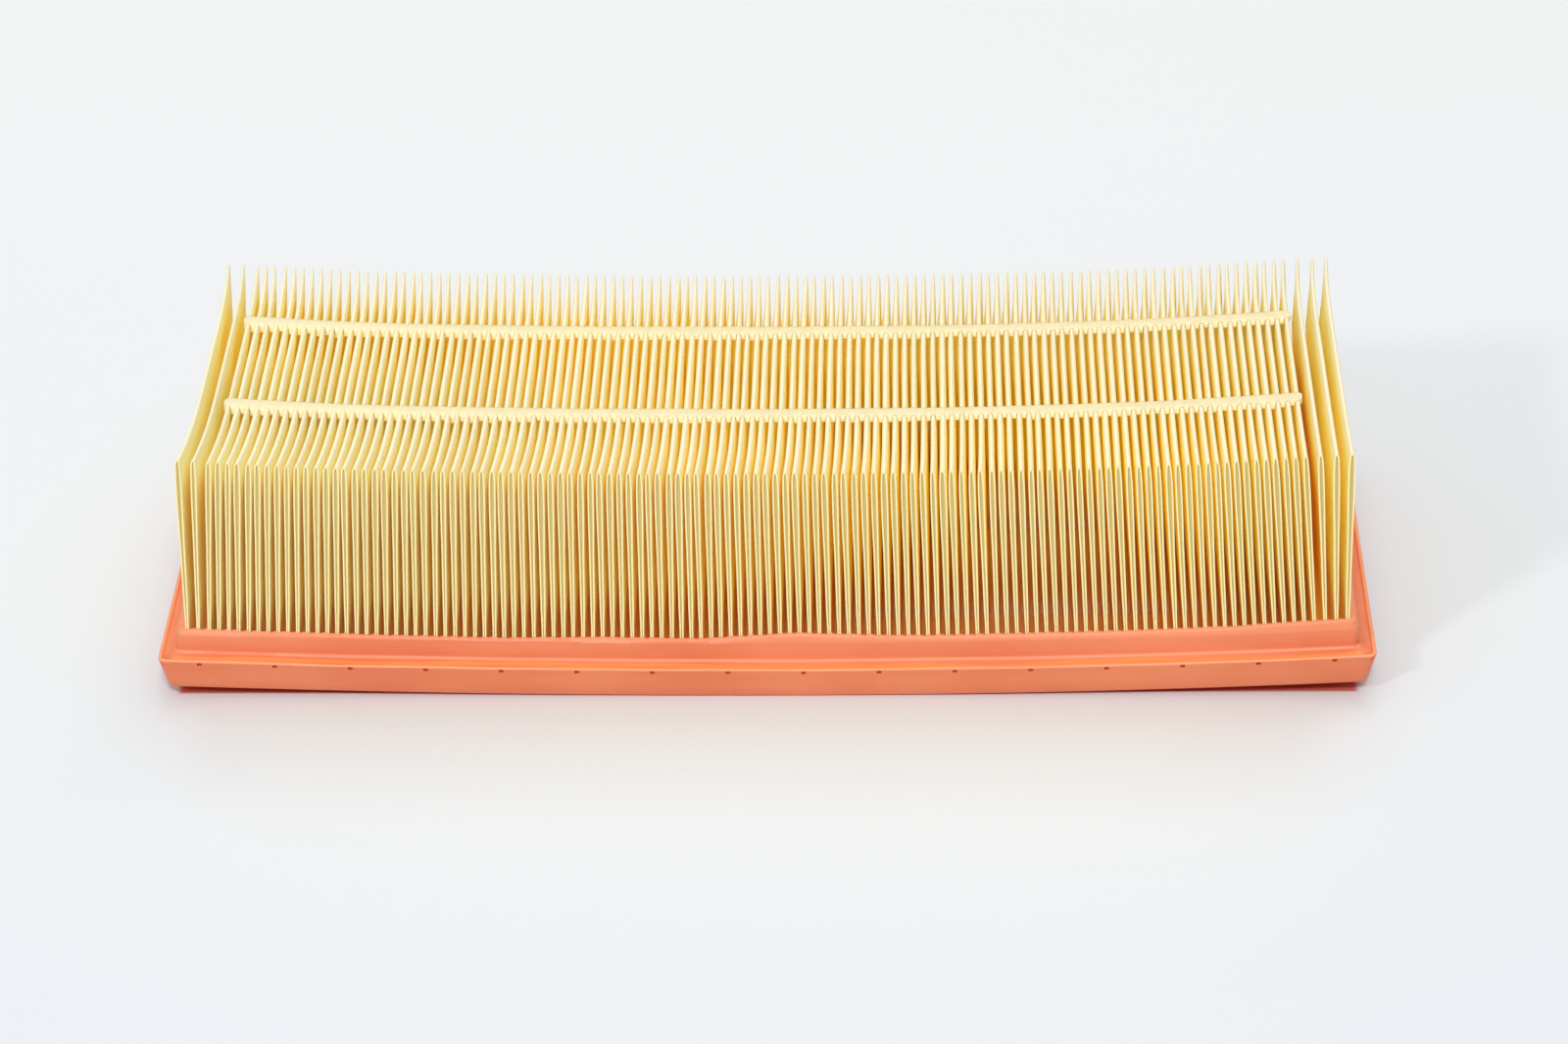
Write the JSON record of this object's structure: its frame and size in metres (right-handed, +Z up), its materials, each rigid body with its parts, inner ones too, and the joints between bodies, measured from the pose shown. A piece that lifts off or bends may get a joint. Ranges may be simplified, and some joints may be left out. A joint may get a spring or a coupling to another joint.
{
  "type": "panel air filter element",
  "caption": "Rectangular pleated-paper air filter element for an engine airbox, with a soft orange polyurethane seal frame moulded round its base and glue strips across the folds.",
  "frame": {"origin": "middle of the flat underside of the seal frame, the lowest plane of the part", "axes": "+X along the pack, across the pleats; +Y across the pack, along the folds; +Z up, from the seal frame towards the crests"},
  "size_m": [0.3448, 0.135, 0.07],
  "materials": {
    "polyurethane": "satin",
    "filter_paper": "matte",
    "hot_melt": "satin"
  },
  "bodies": {
    "root": {"seal_frame": "polyurethane", "pleated_paper": "filter_paper", "front_edge_seams": "hot_melt", "rear_edge_seams": "hot_melt", "top_strip_front": "hot_melt", "top_strip_rear": "hot_melt", "bottom_strip_front": "hot_melt", "bottom_strip_rear": "hot_melt"}
  },
  "joints": []
}
